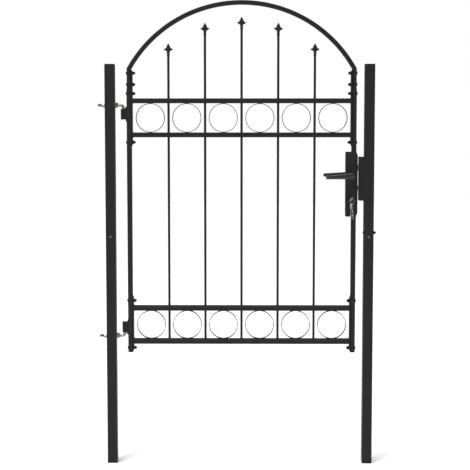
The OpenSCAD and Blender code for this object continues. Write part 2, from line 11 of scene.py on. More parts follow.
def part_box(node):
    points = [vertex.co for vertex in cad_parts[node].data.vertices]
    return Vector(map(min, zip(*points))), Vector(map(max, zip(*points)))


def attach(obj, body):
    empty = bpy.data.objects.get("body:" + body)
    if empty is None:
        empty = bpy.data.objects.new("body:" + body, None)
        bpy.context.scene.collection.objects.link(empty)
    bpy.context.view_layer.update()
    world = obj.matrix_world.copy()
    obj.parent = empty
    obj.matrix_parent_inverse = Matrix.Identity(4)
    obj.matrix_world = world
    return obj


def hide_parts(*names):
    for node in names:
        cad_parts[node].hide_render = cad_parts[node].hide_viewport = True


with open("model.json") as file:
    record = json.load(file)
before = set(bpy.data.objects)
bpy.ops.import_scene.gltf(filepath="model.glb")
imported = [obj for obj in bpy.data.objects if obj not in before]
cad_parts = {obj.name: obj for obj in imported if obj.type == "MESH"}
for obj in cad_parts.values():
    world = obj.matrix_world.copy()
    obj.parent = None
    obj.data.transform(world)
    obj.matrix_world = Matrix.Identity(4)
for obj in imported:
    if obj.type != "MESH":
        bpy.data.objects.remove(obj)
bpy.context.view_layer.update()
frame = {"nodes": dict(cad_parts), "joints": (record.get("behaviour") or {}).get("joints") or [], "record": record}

MM = 0.001
TURN = 2 * math.pi
UP = Vector((0, 0, 1))
POINT = 0.02  # radius in millimetres of a ring that stands for a point


# ---------------------------------------------------------------- materials

class Paint:
    """A principled material whose colour, roughness and bump come from procedural nodes."""

    def __init__(self, name, metallic=0.0, specular=0.5):
        self.mat = bpy.data.materials.new(name)
        self.mat.use_nodes = True
        self.tree = self.mat.node_tree
        self.shader = next(n for n in self.tree.nodes if n.type == "BSDF_PRINCIPLED")
        self.shader.inputs["Metallic"].default_value = metallic
        self.shader.inputs["Specular IOR Level"].default_value = specular
        self.place = self.node("ShaderNodeTexCoord").outputs["Object"]

    def node(self, kind, **settings):
        made = self.tree.nodes.new(kind)
        for key, value in settings.items():
            setattr(made, key, value)
        return made

    def link(self, a, b):
        self.tree.links.new(a, b)

    def stretched(self, scale):
        made = self.node("ShaderNodeMapping")
        made.inputs["Scale"].default_value = scale
        self.link(self.place, made.inputs["Vector"])
        return made.outputs["Vector"]

    def noise(self, scale, detail=3.0, rough=0.55, where=None):
        made = self.node("ShaderNodeTexNoise")
        made.inputs["Scale"].default_value = scale
        made.inputs["Detail"].default_value = detail
        made.inputs["Roughness"].default_value = rough
        self.link(where or self.place, made.inputs["Vector"])
        return made.outputs["Fac"]

    def cells(self, scale):
        made = self.node("ShaderNodeTexVoronoi")
        made.inputs["Scale"].default_value = scale
        self.link(self.place, made.inputs["Vector"])
        return made.outputs["Color"]

    def span(self, value, low, high, to_low, to_high, smooth=False):
        made = self.node("ShaderNodeMapRange", interpolation_type="SMOOTHSTEP" if smooth else "LINEAR")
        limits = {"From Min": low, "From Max": high, "To Min": to_low, "To Max": to_high}
        for key, number in limits.items():
            made.inputs[key].default_value = number
        self.link(value, made.inputs["Value"])
        return made.outputs["Result"]

    def maths(self, kind, a, b):
        made = self.node("ShaderNodeMath", operation=kind)
        for socket, value in zip(made.inputs, (a, b)):
            if isinstance(value, (int, float)):
                socket.default_value = value
            else:
                self.link(value, socket)
        return made.outputs["Value"]

    def mix(self, factor, a, b):
        made = self.node("ShaderNodeMix", data_type="RGBA")
        self.link(factor, made.inputs["Factor"])
        for key, value in (("A", a), ("B", b)):
            socket = next(s for s in made.inputs if s.name == key and s.type == "RGBA")
            if isinstance(value, tuple):
                socket.default_value = (*value, 1)
            else:
                self.link(value, socket)
        return next(s for s in made.outputs if s.type == "RGBA")

    def edge(self, low, high):
        """1 on convex edges, 0 on flat faces."""
        geometry = self.node("ShaderNodeNewGeometry")
        return self.span(geometry.outputs["Pointiness"], low, high, 0, 1, smooth=True)

    def upward(self, low, high):
        """1 on faces that look up, where dust settles."""
        geometry = self.node("ShaderNodeNewGeometry")
        split = self.node("ShaderNodeSeparateXYZ")
        self.link(geometry.outputs["Normal"], split.inputs["Vector"])
        return self.span(split.outputs["Z"], low, high, 0, 1, smooth=True)

    def finish(self, colour, rough, heights):
        """heights is a list of (value, size in metres); each is one bump on top of the one before."""
        self.link(colour, self.shader.inputs["Base Color"])
        self.link(rough, self.shader.inputs["Roughness"])
        normal = None
        for value, size in heights:
            bump = self.node("ShaderNodeBump")
            bump.inputs["Strength"].default_value = 1.0
            bump.inputs["Distance"].default_value = size
            self.link(value, bump.inputs["Height"])
            if normal:
                self.link(normal, bump.inputs["Normal"])
            normal = bump.outputs["Normal"]
        self.link(normal, self.shader.inputs["Normal"])
        return self.mat


def coated(name, dark, light, dust, rough_low, rough_high, specular):
    """Powder coat: orange peel, slow changes of tone, dust on top faces and rubbed edges."""
    p = Paint(name, specular=specular)
    broad = p.noise(3.5, 4)
    tone = p.mix(p.span(broad, 0.3, 0.7, 0, 1), dark, light)
    speck = p.span(p.noise(55, 6, 0.7), 0.62, 0.8, 0, 0.35, smooth=True)
    tone = p.mix(speck, tone, dust)
    settled = p.maths("MULTIPLY", p.upward(0.55, 0.98), p.span(p.noise(14, 5), 0.25, 0.75, 0.15, 0.6))
    tone = p.mix(settled, tone, dust)
    rubbed = p.maths("MULTIPLY", p.edge(0.56, 0.68),
                     p.span(p.noise(34, 5), 0.4, 0.66, 0, 0.4, smooth=True))
    tone = p.mix(rubbed, tone, tuple(2.2 * c for c in light))
    rough = p.span(p.noise(23, 4), 0.25, 0.75, rough_low, rough_high)
    rough = p.maths("ADD", rough, p.maths("MULTIPLY", settled, 0.25))
    peel = p.noise(620, 2)
    return p.finish(tone, rough, [(p.noise(38, 2), 0.00012), (peel, 0.00007)])


def plated(name, dark, light, rough_low, rough_high, spangle, lines=None):
    """Plated or drawn metal: small patches of tone, wiping marks and dull spots."""
    p = Paint(name, metallic=1.0)
    patches = p.cells(spangle)
    split = p.node("ShaderNodeSeparateColor")
    p.link(patches, split.inputs["Color"])
    tone = p.mix(split.outputs[0], dark, light)
    stain = p.span(p.noise(70, 6, 0.7), 0.58, 0.74, 0, 0.5, smooth=True)
    tone = p.mix(stain, tone, tuple(0.45 * c for c in dark))
    rough = p.span(p.noise(120, 4), 0.3, 0.7, rough_low, rough_high)
    where = p.stretched(lines) if lines else None
    return p.finish(tone, rough, [(p.noise(400, 3, where=where), 0.00005)])


def moulded(name, dark, light):
    """Fine grained plastic, a little paler where it has been rubbed."""
    p = Paint(name, specular=0.2)
    tone = p.mix(p.span(p.noise(28, 5), 0.3, 0.7, 0, 1), dark, light)
    worn = p.maths("MULTIPLY", p.edge(0.53, 0.64),
                   p.span(p.noise(60, 4), 0.4, 0.65, 0, 0.6, smooth=True))
    tone = p.mix(worn, tone, tuple(2.5 * c for c in light))
    rough = p.span(p.noise(45, 3), 0.3, 0.7, 0.5, 0.68)
    return p.finish(tone, rough, [(p.noise(1300, 2), 0.00012)])


BLACK = coated("powder_coat_black", (0.0052, 0.0054, 0.0056), (0.0072, 0.0074, 0.0076),
               (0.024, 0.023, 0.0215), 0.48, 0.6, 0.25)
LEVER = coated("lever_coat_black", (0.007, 0.0071, 0.0074), (0.01, 0.0102, 0.0104),
               (0.03, 0.029, 0.028), 0.3, 0.38, 0.5)
PLASTIC = moulded("cap_plastic_black", (0.002, 0.002, 0.0022), (0.004, 0.004, 0.0042))
ZINC = plated("zinc_plate", (0.2, 0.2, 0.185), (0.32, 0.32, 0.295), 0.3, 0.46, 420)
STEEL = plated("spring_steel", (0.26, 0.26, 0.26), (0.38, 0.38, 0.38), 0.25, 0.4, 900)
NICKEL = plated("nickel_brass", (0.46, 0.46, 0.44), (0.58, 0.58, 0.55), 0.24, 0.38, 500, (1, 1, 0.06))
DULL_ZINC = plated("dull_zinc", (0.1, 0.1, 0.095), (0.17, 0.17, 0.16), 0.4, 0.55, 420)
DARK_NICKEL = plated("dark_nickel", (0.06, 0.06, 0.06), (0.1, 0.1, 0.098), 0.32, 0.45, 500)
SLOT_MATERIAL = {"powder_coat": BLACK, "lever_coat": LEVER, "cap_plastic": PLASTIC, "zinc_plate": ZINC,
                 "spring_steel": STEEL, "nickel_brass": NICKEL}
SLOTS = {row["node"]: row["material_slot"] for row in frame["record"]["subparts"]}


# ---------------------------------------------------------------- mesh helpers

def add_rings(bm, rings, matrix=Matrix.Identity(4), loop=False):
    """Skins a row of rings that have equal numbers of points. Its ends are closed unless it is a loop."""
    rows = [[bm.verts.new(matrix @ Vector(p)) for p in ring] for ring in rings]
    count = len(rows[0])
    pairs = list(zip(rows, rows[1:])) + ([(rows[-1], rows[0])] if loop else [])
    for a, b in pairs:
        for k in range(count):
            bm.faces.new((a[k], a[(k + 1) % count], b[(k + 1) % count], b[k]))
    if not loop:
        bm.faces.new(rows[0][::-1])
        bm.faces.new(rows[-1])


def facing(at, direction):
    """Matrix that puts a shape's own +Z along direction and its origin at a point."""
    turn = Vector(direction).to_track_quat("Z", "Y").to_matrix().to_4x4()
    return Matrix.Translation(Vector(at)) @ turn


def circle(r, z, n=32, shape=None):
    """Ring of n points at height z. shape(angle) scales the radius."""
    made = []
    for k in range(n):
        a = TURN * k / n
        f = shape(a) if shape else 1
        made.append((r * f * math.cos(a), r * f * math.sin(a), z))
    return made


def turned(bm, profile, matrix, n=32, loop=False):
    """Lathe work: profile is a row of (radius, height) in millimetres."""
    add_rings(bm, [circle(max(r, POINT) * MM, z * MM, n) for r, z in profile], matrix, loop)


def rounded_rect(w, d, r, steps=3):
    """Outline of a rounded rectangle round 0, 0, in the units given."""
    made = []
    x, y = w / 2 - r, d / 2 - r
    for start, (cx, cy) in enumerate(((x, y), (-x, y), (-x, -y), (x, -y))):
        for i in range(steps + 1):
            a = math.pi / 2 * (start + i / steps)
            made.append((cx + r * math.cos(a), cy + r * math.sin(a)))
    return made


def inset(outline, by):
    """A convex outline, given anticlockwise, moved inwards."""
    made = []
    for k, (x, y) in enumerate(outline):
        x0, y0 = outline[k - 1]
        x1, y1 = outline[(k + 1) % len(outline)]
        n = Vector((y - y0, x0 - x)).normalized() + Vector((y1 - y, x - x1)).normalized()
        n = n / max(n.length_squared / 2, 0.5)
        made.append((x - n.x * by, y - n.y * by))
    return made


def piece(name, bm, material, body, replaces=(), sharp=38, flat_faces=False):
    """Makes the object, shades it, ties it to its body and hides the CAD nodes it replaces."""
    bmesh.ops.recalc_face_normals(bm, faces=bm.faces)
    mesh = bpy.data.meshes.new(name)
    bm.to_mesh(mesh)
    bm.free()
    mesh.shade_smooth()
    mesh.set_sharp_from_angle(angle=math.radians(sharp))
    mesh.materials.append(material)
    made = bpy.data.objects.new(name, mesh)
    bpy.context.scene.collection.objects.link(made)
    if flat_faces:
        made.modifiers.new("flat faces", "WEIGHTED_NORMAL").keep_sharp = True
    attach(made, body)
    if replaces:
        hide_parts(*replaces)


def body_of(node):
    return next(b for b, nodes in frame["record"]["behaviour"]["bodies"].items() if node in nodes)


def softened(node, width, min_len, steps):
    """The CAD node again, with its long outer edges rounded as on rolled or folded steel."""
    bm = bmesh.new()
    bm.from_mesh(frame["nodes"][node].data)
    bmesh.ops.remove_doubles(bm, verts=bm.verts, dist=1e-6)
    bmesh.ops.dissolve_limit(bm, angle_limit=math.radians(0.5), verts=bm.verts, edges=bm.edges)
    edges = [e for e in bm.edges if len(e.link_faces) == 2 and e.is_convex and e.calc_length() > min_len
             and e.calc_face_angle(0) > math.radians(25)]
    bmesh.ops.bevel(bm, geom=edges, offset=width, segments=steps, affect="EDGES", profile=0.5,
                    clamp_overlap=True)
    piece(node + "_body", bm, SLOT_MATERIAL[SLOTS[node]], body_of(node), [node], flat_faces=True)


# ---------------------------------------------------------------- fasteners

def hexagon(a):
    """Radius of a hexagon at an angle, as a share of half its width across flats."""
    return 1 / math.cos((a % (TURN / 6)) - TURN / 12)


def nut_rings(across, height, bore, n=72):
    """Rings of a chamfered hexagon: those of its lower face, its upper one, and the radius of its flat."""
    half = across / 2
    flat = 0.95 * half
    tan = math.tan(math.radians(30))

    def hex_ring(top):
        made = []
        for k in range(n):
            a = TURN * k / n
            r = half * hexagon(a)
            drop = (r - flat) * tan
            z = height - drop if top else drop
            made.append((r * math.cos(a) * MM, r * math.sin(a) * MM, z * MM))
        return made

    foot = [circle(bore * MM, 0.5 * MM, n), circle((bore + 0.6) * MM, 0, n), circle(flat * MM, 0, n),
            hex_ring(False)]
    return foot, hex_ring(True), flat


def hex_nut(bm, matrix, across, height, bore):
    foot, top, flat = nut_rings(across, height, bore)
    n = len(top)
    rings = foot + [top, circle(flat * MM, height * MM, n), circle((bore + 0.6) * MM, height * MM, n),
                    circle(bore * MM, (height - 0.5) * MM, n)]
    add_rings(bm, rings, matrix, loop=True)


def cap_nut(bm, matrix, across, height, bore):
    """Domed nut: a low hexagon, a waist and a ball end."""
    base = height * 0.46
    foot, top, flat = nut_rings(across, base, bore)
    n = len(top)
    ball = flat * 0.93
    rings = [circle(POINT * MM, height * 0.7 * MM, n), circle(bore * MM, height * 0.68 * MM, n)]
    rings += foot + [top]
    rings += [circle(flat * MM, base * MM, n), circle(ball * MM, (base + 0.15) * MM, n)]
    for i in range(1, 10):
        a = math.pi / 2 * i / 9
        z = base + 0.3 + (height - base - 0.3) * math.sin(a)
        rings.append(circle(max(ball * math.cos(a), POINT) * MM, z * MM, n))
    add_rings(bm, rings, matrix)


def washer(bm, matrix, r, bore, t):
    profile = ((bore, 0.2), (bore + 0.3, 0), (r - 0.4, 0), (r, 0.4), (r, t - 0.4), (r - 0.4, t),
               (bore + 0.3, t), (bore, t - 0.2))
    turned(bm, profile, matrix, 40, loop=True)


def carriage_bolt(bm, matrix, head_r, head_h, shank_r, shank_len):
    """Low domed head above z = 0, square neck and shank below it."""
    ball = (head_r * head_r + head_h * head_h) / (2 * head_h)
    rings = [circle(POINT * MM, -shank_len * MM), circle((shank_r - 0.8) * MM, -shank_len * MM),
             circle(shank_r * MM, (-shank_len + 0.8) * MM), circle(shank_r * MM, -3.2 * MM),
             circle(shank_r * 0.98 * MM, -3 * MM), circle(shank_r * 0.98 * MM, 0)]
    rings += [circle((head_r - 0.3) * MM, 0), circle(head_r * MM, 0.25 * MM)]
    for i in range(1, 9):
        r = head_r * (1 - i / 8)
        z = (head_h - ball + math.sqrt(ball * ball - r * r)) * 0.96 if r else head_h
        rings.append(circle(max(r, POINT) * MM, z * MM))
    add_rings(bm, rings, matrix)


def cross_recess(a):
    """Radius of a cross-shaped hole at an angle, as a share of its reach."""
    return 0.34 + 0.66 * abs(math.cos(2 * a)) ** 5


def pan_screw(bm, matrix, head_r, head_h, shank_r, shank_len, n=48):
    """Pan head above z = 0 with a cross recess, and a threaded shank below."""
    rings = [circle(POINT * MM, -shank_len * MM, n), circle(shank_r * 0.5 * MM, (-shank_len + 0.4) * MM, n)]
    z = -shank_len + 1.2
    while z < -1:
        rings += [circle(shank_r * 0.84 * MM, z * MM, n), circle(shank_r * MM, (z + 0.4) * MM, n)]
        z += 0.8
    rings += [circle(shank_r * 0.9 * MM, 0, n), circle((head_r - 0.15) * MM, 0, n),
              circle(head_r * MM, 0.2 * head_h * MM, n)]
    for i in range(1, 6):
        a = math.pi / 2 * i / 8
        z = (0.2 + 0.8 * math.sin(a) / math.sin(math.pi * 5 / 16)) * head_h
        rings.append(circle(head_r * math.cos(a) * MM, z * MM, n))
    for wide, high_up in ((0.46, 1), (0.36, 0.45), (0.05, 0.2)):
        rings.append(circle(wide * head_r * MM, head_h * high_up * MM, n, cross_recess))
    add_rings(bm, rings, matrix)


# ---------------------------------------------------------------- places in the frame

def low(node):
    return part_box(node)[0]


def high(node):
    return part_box(node)[1]


def mid(node):
    a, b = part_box(node)
    return (a + b) / 2


JOINTS = {j["name"]: j for j in frame["joints"]}
SWING_X = JOINTS["gate_swing"]["pos_m"][0]
HANDLE_AT = Vector(JOINTS["handle_turn"]["pos_m"])
KEY_AT = Vector(JOINTS["key_turn"]["pos_m"])
RING_AT = Vector(JOINTS["key_ring_swing"]["pos_m"])
LEAF_L, LEAF_R = low("hinge_stile").x, high("lock_stile_lower").x
LEAF_X = (LEAF_L + LEAF_R) / 2
BARS = ["bar_1", "bar_2", "bar_3", "bar_4", "bar_5"]
RAILS = ["bottom_rail", "lower_band_rail", "upper_band_rail", "top_rail"]
BANDS = [("rings_lower", "bottom_rail", "lower_band_rail"), ("rings_upper", "upper_band_rail", "top_rail")]
POSTS = ["hinge_post", "lock_post"]
PINS = ["hinge_pin_upper", "hinge_pin_lower"]
FRONT, BACK = Vector((0, -1, 0)), Vector((0, 1, 0))
LEFT, RIGHT = Vector((-1, 0, 0)), Vector((1, 0, 0))

# Sizes in millimetres: M8 bolts with cap nuts, M12 hinge pins with hexagon nuts
BOLT_R, BOLT_HEAD_R = 4.0, 8
CAP_NUT_ACROSS = 13
PIN_R, PIN_BEND, PIN_PITCH = 6.0, 12.0, 1.75
PIN_NUT_ACROSS, PIN_NUT_TALL = 19, 10
PIN_WASHER_R, PIN_WASHER_T = 12, 2.5
FRAME_WASHER_R, FRAME_WASHER_T = 8, 1.6


# ---------------------------------------------------------------- posts

def tube_cap(bm, matrix, w, wall, flange, stub, corner):
    """Moulded cap: a domed flange with rounded edges and a hollow ribbed stub below z = 0."""
    outer = rounded_rect(w, w, corner, 4)
    stub_w = w - 2 * wall - 0.3
    inner = rounded_rect(stub_w, stub_w, max(corner - wall, 0.6), 4)

    def ring(outline, by, z):
        return [(x * MM, y * MM, z * MM) for x, y in inset(outline, by)]

    rings = [ring(inner, stub_w * 0.35, -1.5), ring(inner, 1.6, -1.5), ring(inner, 1.6, -stub),
             ring(inner, 0.5, -stub)]
    for i in range(4):
        z = -stub + 1.5 + i * (stub - 2) / 4
        rings += [ring(inner, 0.25, z), ring(inner, 0, z + 0.6), ring(inner, 0.25, z + 1.2)]
    rings += [ring(inner, 0.25, 0), ring(outer, 0.15, 0), ring(outer, 0, 0.3), ring(outer, 0, flange - 0.9)]
    rings += [ring(outer, 0.25, flange - 0.4), ring(outer, 0.8, flange - 0.12), ring(outer, 2.0, flange),
              ring(outer, w * 0.3, flange)]
    add_rings(bm, rings, matrix)


for node in POSTS:
    softened(node, 3.0 * MM, 0.3, 4)

bm = bmesh.new()
POST_W = high("hinge_post").x - low("hinge_post").x
for post in POSTS:
    at = mid(post)
    for z, outwards in ((high(post).z, UP), (low(post).z, -UP)):
        tube_cap(bm, facing((at.x, at.y, z), outwards), POST_W / MM, wall=1.5, flange=4, stub=14, corner=2)
piece("post_end_caps", bm, PLASTIC, "posts", ["post_caps"])

bm = bmesh.new()
for post in POSTS:
    seat = facing((mid(post).x, low(post).y, mid("post_face_screws").z), FRONT)
    pan_screw(bm, seat, head_r=5, head_h=2.6, shank_r=2.5, shank_len=8)
piece("post_pan_screws", bm, DULL_ZINC, "posts", ["post_face_screws"])

CROSS_Z = mid("cross_bolt").z
bm = bmesh.new()
carriage_bolt(bm, facing((low("lock_post").x, 0, CROSS_Z), LEFT), BOLT_HEAD_R, 4, BOLT_R, 48)
piece("cross_carriage_bolt", bm, BLACK, "posts", ["cross_bolt"])
bm = bmesh.new()
cap_nut(bm, facing((high("lock_post").x, 0, CROSS_Z), RIGHT), CAP_NUT_ACROSS, 12, BOLT_R + 0.06)
piece("cross_cap_nut", bm, BLACK, "posts", ["cross_nut"])


# ---------------------------------------------------------------- hinges

def threaded_pin(bm, x0, thread_to, bend_x, z, down, tail, n=30):
    """Bolt along X that bends into the swing axis: a helical thread, a smooth bend and a chamfered tail."""
    r, pitch, bend = PIN_R, PIN_PITCH, PIN_BEND
    depth = 0.52 * pitch

    def section(centre, side, radius):
        made = []
        for k in range(n):
            a = TURN * k / n
            rr = radius(a) * MM
            made.append(centre + BACK * rr * math.cos(a) + side * rr * math.sin(a))
        return made

    rings = []
    steps = 8
    length = (thread_to - x0) / MM
    count = int(length / pitch * steps)
    for i in range(count + 1):
        s = i * pitch / steps
        fade = min(1.0, s / 2.0) * min(1.0, (length - s) / 2.0 + 0.05)

        def radius(a, s=s, fade=fade):
            t = (s / pitch - a / TURN) % 1.0
            crest = r - depth * abs(2 * t - 1)
            start = r - 1.4 * (1 - min(1.0, s / 1.6))
            ground = r - depth if s < 2 else r
            return min(crest * fade + ground * (1 - fade), start)
        rings.append(section(Vector((x0 + s * MM, 0, z)), UP, radius))
    plain = lambda a: r
    turn_x = bend_x - bend * MM
    for i in range(1, 4):
        x = thread_to + (turn_x - thread_to) * i / 3
        rings.append(section(Vector((x, 0, z)), UP, plain))
    for i in range(1, 13):
        a = math.pi / 2 * i / 12
        centre = Vector((turn_x + bend * MM * math.sin(a), 0, z + down * bend * MM * (1 - math.cos(a))))
        side = Vector((-math.sin(a) * down, 0, math.cos(a)))
        rings.append(section(centre, side, plain))
    foot = z + down * bend * MM
    side = Vector((-down, 0, 0))
    for i, rr in ((0.5, r), (0.97, r), (1.0, r - 1.2)):
        rings.append(section(Vector((bend_x, 0, foot + down * tail * i)), side, lambda a, rr=rr: rr))
    add_rings(bm, rings)


OUT_X, IN_X = low("hinge_post").x, high("hinge_post").x
for node in PINS:
    a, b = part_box(node)
    upper = node.endswith("upper")
    z = b.z - PIN_R * MM if upper else a.z + PIN_R * MM
    down = -1 if upper else 1
    bm = bmesh.new()
    threaded_pin(bm, a.x, IN_X + 15 * MM, SWING_X, z, down, (b.z - a.z) - (PIN_R + PIN_BEND) * MM)
    piece(node + "_threaded", bm, ZINC, "posts", [node])

PIN_Z = [high(PINS[0]).z - PIN_R * MM, low(PINS[1]).z + PIN_R * MM]
bm, bm2 = bmesh.new(), bmesh.new()
for z in PIN_Z:
    for x, side, twist in ((OUT_X, -1, 0.2), (IN_X, 1, 0.45)):
        seat = facing((x, 0, z), (side, 0, 0)) @ Matrix.Rotation(twist, 4, "Z")
        washer(bm2, seat, PIN_WASHER_R, PIN_R + 0.05, PIN_WASHER_T)
        on_washer = seat @ Matrix.Translation((0, 0, PIN_WASHER_T * MM))
        hex_nut(bm, on_washer, PIN_NUT_ACROSS, PIN_NUT_TALL, PIN_R + 0.05)
piece("hinge_hex_nuts", bm, ZINC, "posts", ["hinge_nuts"])
piece("hinge_flat_washers", bm2, ZINC, "posts", ["hinge_washers"])
for node in ("hinge_eye_upper", "hinge_eye_lower"):
    softened(node, 0.8 * MM, 0.006, 2)


# ---------------------------------------------------------------- frame of the leaf

for node in ("hinge_stile", "lock_stile_upper", "lock_stile_lower"):
    softened(node, 2.0 * MM, 0.1, 4)
for node in RAILS:
    softened(node, 2.2 * MM, 0.3, 4)
for node in ("strap_upper_hinge", "strap_lower_hinge", "strap_upper_lock", "strap_lower_lock"):
    softened(node, 0.7 * MM, 0.003, 2)

bm = bmesh.new()
for stile in ("hinge_stile", "lock_stile_lower"):
    at = mid(stile)
    tube_cap(bm, facing((at.x, at.y, low(stile).z), -UP), 20, wall=1, flange=4, stub=8, corner=2)
piece("stile_end_plugs", bm, PLASTIC, "leaf", ["stile_plugs"])

# The arch: upright legs, a mitre on each side and one arc of rounded square tube
ARCH_LOW, ARCH_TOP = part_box("arch")
TUBE = (high("arch").y - low("arch").y) / MM
ARC_OUT = 543.0  # the arc's outer radius
ARC_FROM = math.radians(31)
ARC_STEPS = 96
LEG_TALL = 0.06
ARC_Z = ARCH_TOP.z - ARC_OUT * MM
LEG_OUT = (ARCH_TOP.x - ARCH_LOW.x) / 2 / MM


def arch_ring(place):
    return [place(u / TUBE + 0.5, v) for u, v in rounded_rect(TUBE, TUBE, 2.0, 3)]


def on_leg(side, z):
    return lambda t, v: Vector((LEAF_X + side * (LEG_OUT - TUBE * (1 - t)) * MM, v * MM, z))


def on_mitre(side):
    ends = []
    for reach in (0, TUBE):
        x, r = LEG_OUT - TUBE + reach, ARC_OUT - TUBE + reach
        ends.append((x, math.sqrt(r * r - x * x)))
    (x0, z0), (x1, z1) = ends
    return lambda t, v: Vector((LEAF_X + side * (x0 + (x1 - x0) * t) * MM, v * MM,
                                ARC_Z + (z0 + (z1 - z0) * t) * MM))


def on_arc(a):
    def place(t, v):
        r = (ARC_OUT - TUBE * (1 - t)) * MM
        return Vector((LEAF_X + r * math.cos(a), v * MM, ARC_Z + r * math.sin(a)))
    return place


bm = bmesh.new()
arcs = [ARC_FROM + (math.pi - 2 * ARC_FROM) * i / ARC_STEPS for i in range(ARC_STEPS + 1)]
places = [on_leg(1, ARCH_LOW.z), on_leg(1, ARCH_LOW.z + LEG_TALL), on_mitre(1)] + [on_arc(a) for a in arcs]
places += [on_mitre(-1), on_leg(-1, ARCH_LOW.z + LEG_TALL), on_leg(-1, ARCH_LOW.z)]
add_rings(bm, [arch_ring(p) for p in places])
piece("arch_tube", bm, BLACK, "leaf", ["arch"], sharp=24)

bm, bm2, bm3 = bmesh.new(), bmesh.new(), bmesh.new()
STILE_ROWS = (490, 690, 1352, 1553)
ARCH_ROWS = (1590, 1637)
STRAP_L, STRAP_R = high("strap_upper_hinge").x, low("strap_upper_lock").x
for z in STILE_ROWS + ARCH_ROWS:
    outer_l, outer_r = (ARCH_LOW.x, ARCH_TOP.x) if z in ARCH_ROWS else (LEAF_L, LEAF_R)
    for side, outer, strap in ((-1, outer_l, STRAP_L), (1, outer_r, STRAP_R)):
        carriage_bolt(bm, facing((outer, 0, z * MM), (side, 0, 0)), BOLT_HEAD_R, 4.5, BOLT_R, 30)
        seat = facing((strap, 0, z * MM), (-side, 0, 0)) @ Matrix.Rotation(0.35 * z, 4, "Z")
        washer(bm2, seat, FRAME_WASHER_R, BOLT_R + 0.05, FRAME_WASHER_T)
        on_washer = seat @ Matrix.Translation((0, 0, FRAME_WASHER_T * MM))
        cap_nut(bm3, on_washer, CAP_NUT_ACROSS, 11, BOLT_R + 0.05)
piece("frame_carriage_bolts", bm, BLACK, "leaf", ["frame_bolts"])
piece("frame_flat_washers", bm2, BLACK, "leaf", ["frame_washers"])
piece("frame_cap_nuts", bm3, BLACK, "leaf", ["frame_nuts"])


# ---------------------------------------------------------------- bars, finials and rings

def lens(half_w, half_t, power, z, n=40):
    """Cross-section from a sharp edged lens (power 1.2) to an ellipse (power 2)."""
    made = []
    for k in range(n):
        a = TURN * k / n
        c, s = math.cos(a), math.sin(a)
        made.append((half_w * MM * math.copysign(abs(c) ** (2 / power), c),
                     half_t * MM * math.copysign(abs(s) ** (2 / power), s), z * MM))
    return made


# Half width, half thickness, lens power and height over the tip of a cast spearhead's sections
SPEAR = ((0.3, 0.3, 2.0, 0), (1.2, 0.9, 1.8, -1.2), (3.4, 1.9, 1.4, -5), (6.3, 3.0, 1.25, -10.5),
         (8.6, 3.6, 1.2, -15), (9.2, 3.8, 1.25, -16.8), (8.9, 3.9, 1.3, -18.2), (10.2, 3.9, 1.3, -19.4),
         (14.2, 3.8, 1.35, -20.8),
         (17.4, 3.6, 1.5, -22.4), (18.4, 3.4, 1.6, -24.2), (17.9, 3.3, 1.6, -25.8), (15.4, 3.4, 1.5, -27.6),
         (11.6, 3.7, 1.5, -29.4), (8.6, 4.2, 1.7, -31.4), (6.6, 4.9, 1.9, -33.6), (5.9, 5.5, 2.0, -35.6))
# Radius and height of the socket under it, which the bar's end stands in
SOCKET = ((3, -34), (5.6, -35.2), (6.6, -35.9), (6.9, -36.8), (6.6, -37.7), (5.7, -38.4), (5.6, -40),
          (5.75, -44), (5.9, -48), (6.0, -49.2), (6.4, -49.8), (6.5, -50.6), (6.3, -51.5), (5.6, -52),
          (5.06, -51.8), (5.06, -46), (0.1, -46))


def finial(bm, matrix):
    add_rings(bm, [lens(*row[:3], row[3]) for row in SPEAR], matrix)
    turned(bm, SOCKET, matrix)


FINIAL_OVER_BAR = 40.2 * MM
bm = bmesh.new()
for bar in BARS:
    at = mid(bar)
    finial(bm, facing((at.x, at.y, high(bar).z + FINIAL_OVER_BAR), UP))
piece("cast_finials", bm, BLACK, "leaf", ["finials"], sharp=50)

for bar in BARS:
    a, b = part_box(bar)
    bm = bmesh.new()
    r = (b.x - a.x) / 2 / MM
    tall = (b.z - a.z) / MM
    profile = [(r - 0.7, 0), (r, 0.7)] + [(r, tall * i / 12) for i in range(1, 12)]
    profile += [(r, tall - 0.7), (r - 0.7, tall)]
    turned(bm, profile, facing((mid(bar).x, 0, a.z), UP), 28)
    piece(bar + "_round", bm, BLACK, "leaf", [bar])

RING_T, RING_W, RING_STEPS = 2.5, 12.0, 96


def ring_row(node):
    """Outer radius, height and middles of a band's rings, one more than there are bars."""
    a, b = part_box(node)
    r_out = (b.z - a.z) / 2
    step = (b.x - a.x - 2 * r_out) / len(BARS)
    return r_out, (a.z + b.z) / 2, [a.x + r_out + step * i for i in range(len(BARS) + 1)]


rng = random.Random(7)
for node, _, _ in BANDS:
    bm = bmesh.new()
    r_out, z, centres = ring_row(node)
    for cx in centres:
        start = rng.random() * TURN
        rings = []
        for k in range(RING_STEPS):
            t = start + TURN * k / RING_STEPS
            mid_r = r_out - RING_T / 2 * MM
            ring = []
            for u, v in rounded_rect(RING_T, RING_W, 0.7, 2):
                out = mid_r + u * MM
                ring.append(Vector((cx + out * math.cos(t), v * MM, z + out * math.sin(t))))
            rings.append(ring)
        add_rings(bm, rings, loop=True)
    piece(node + "_flat_bar", bm, BLACK, "leaf", [node])


# ---------------------------------------------------------------- welds

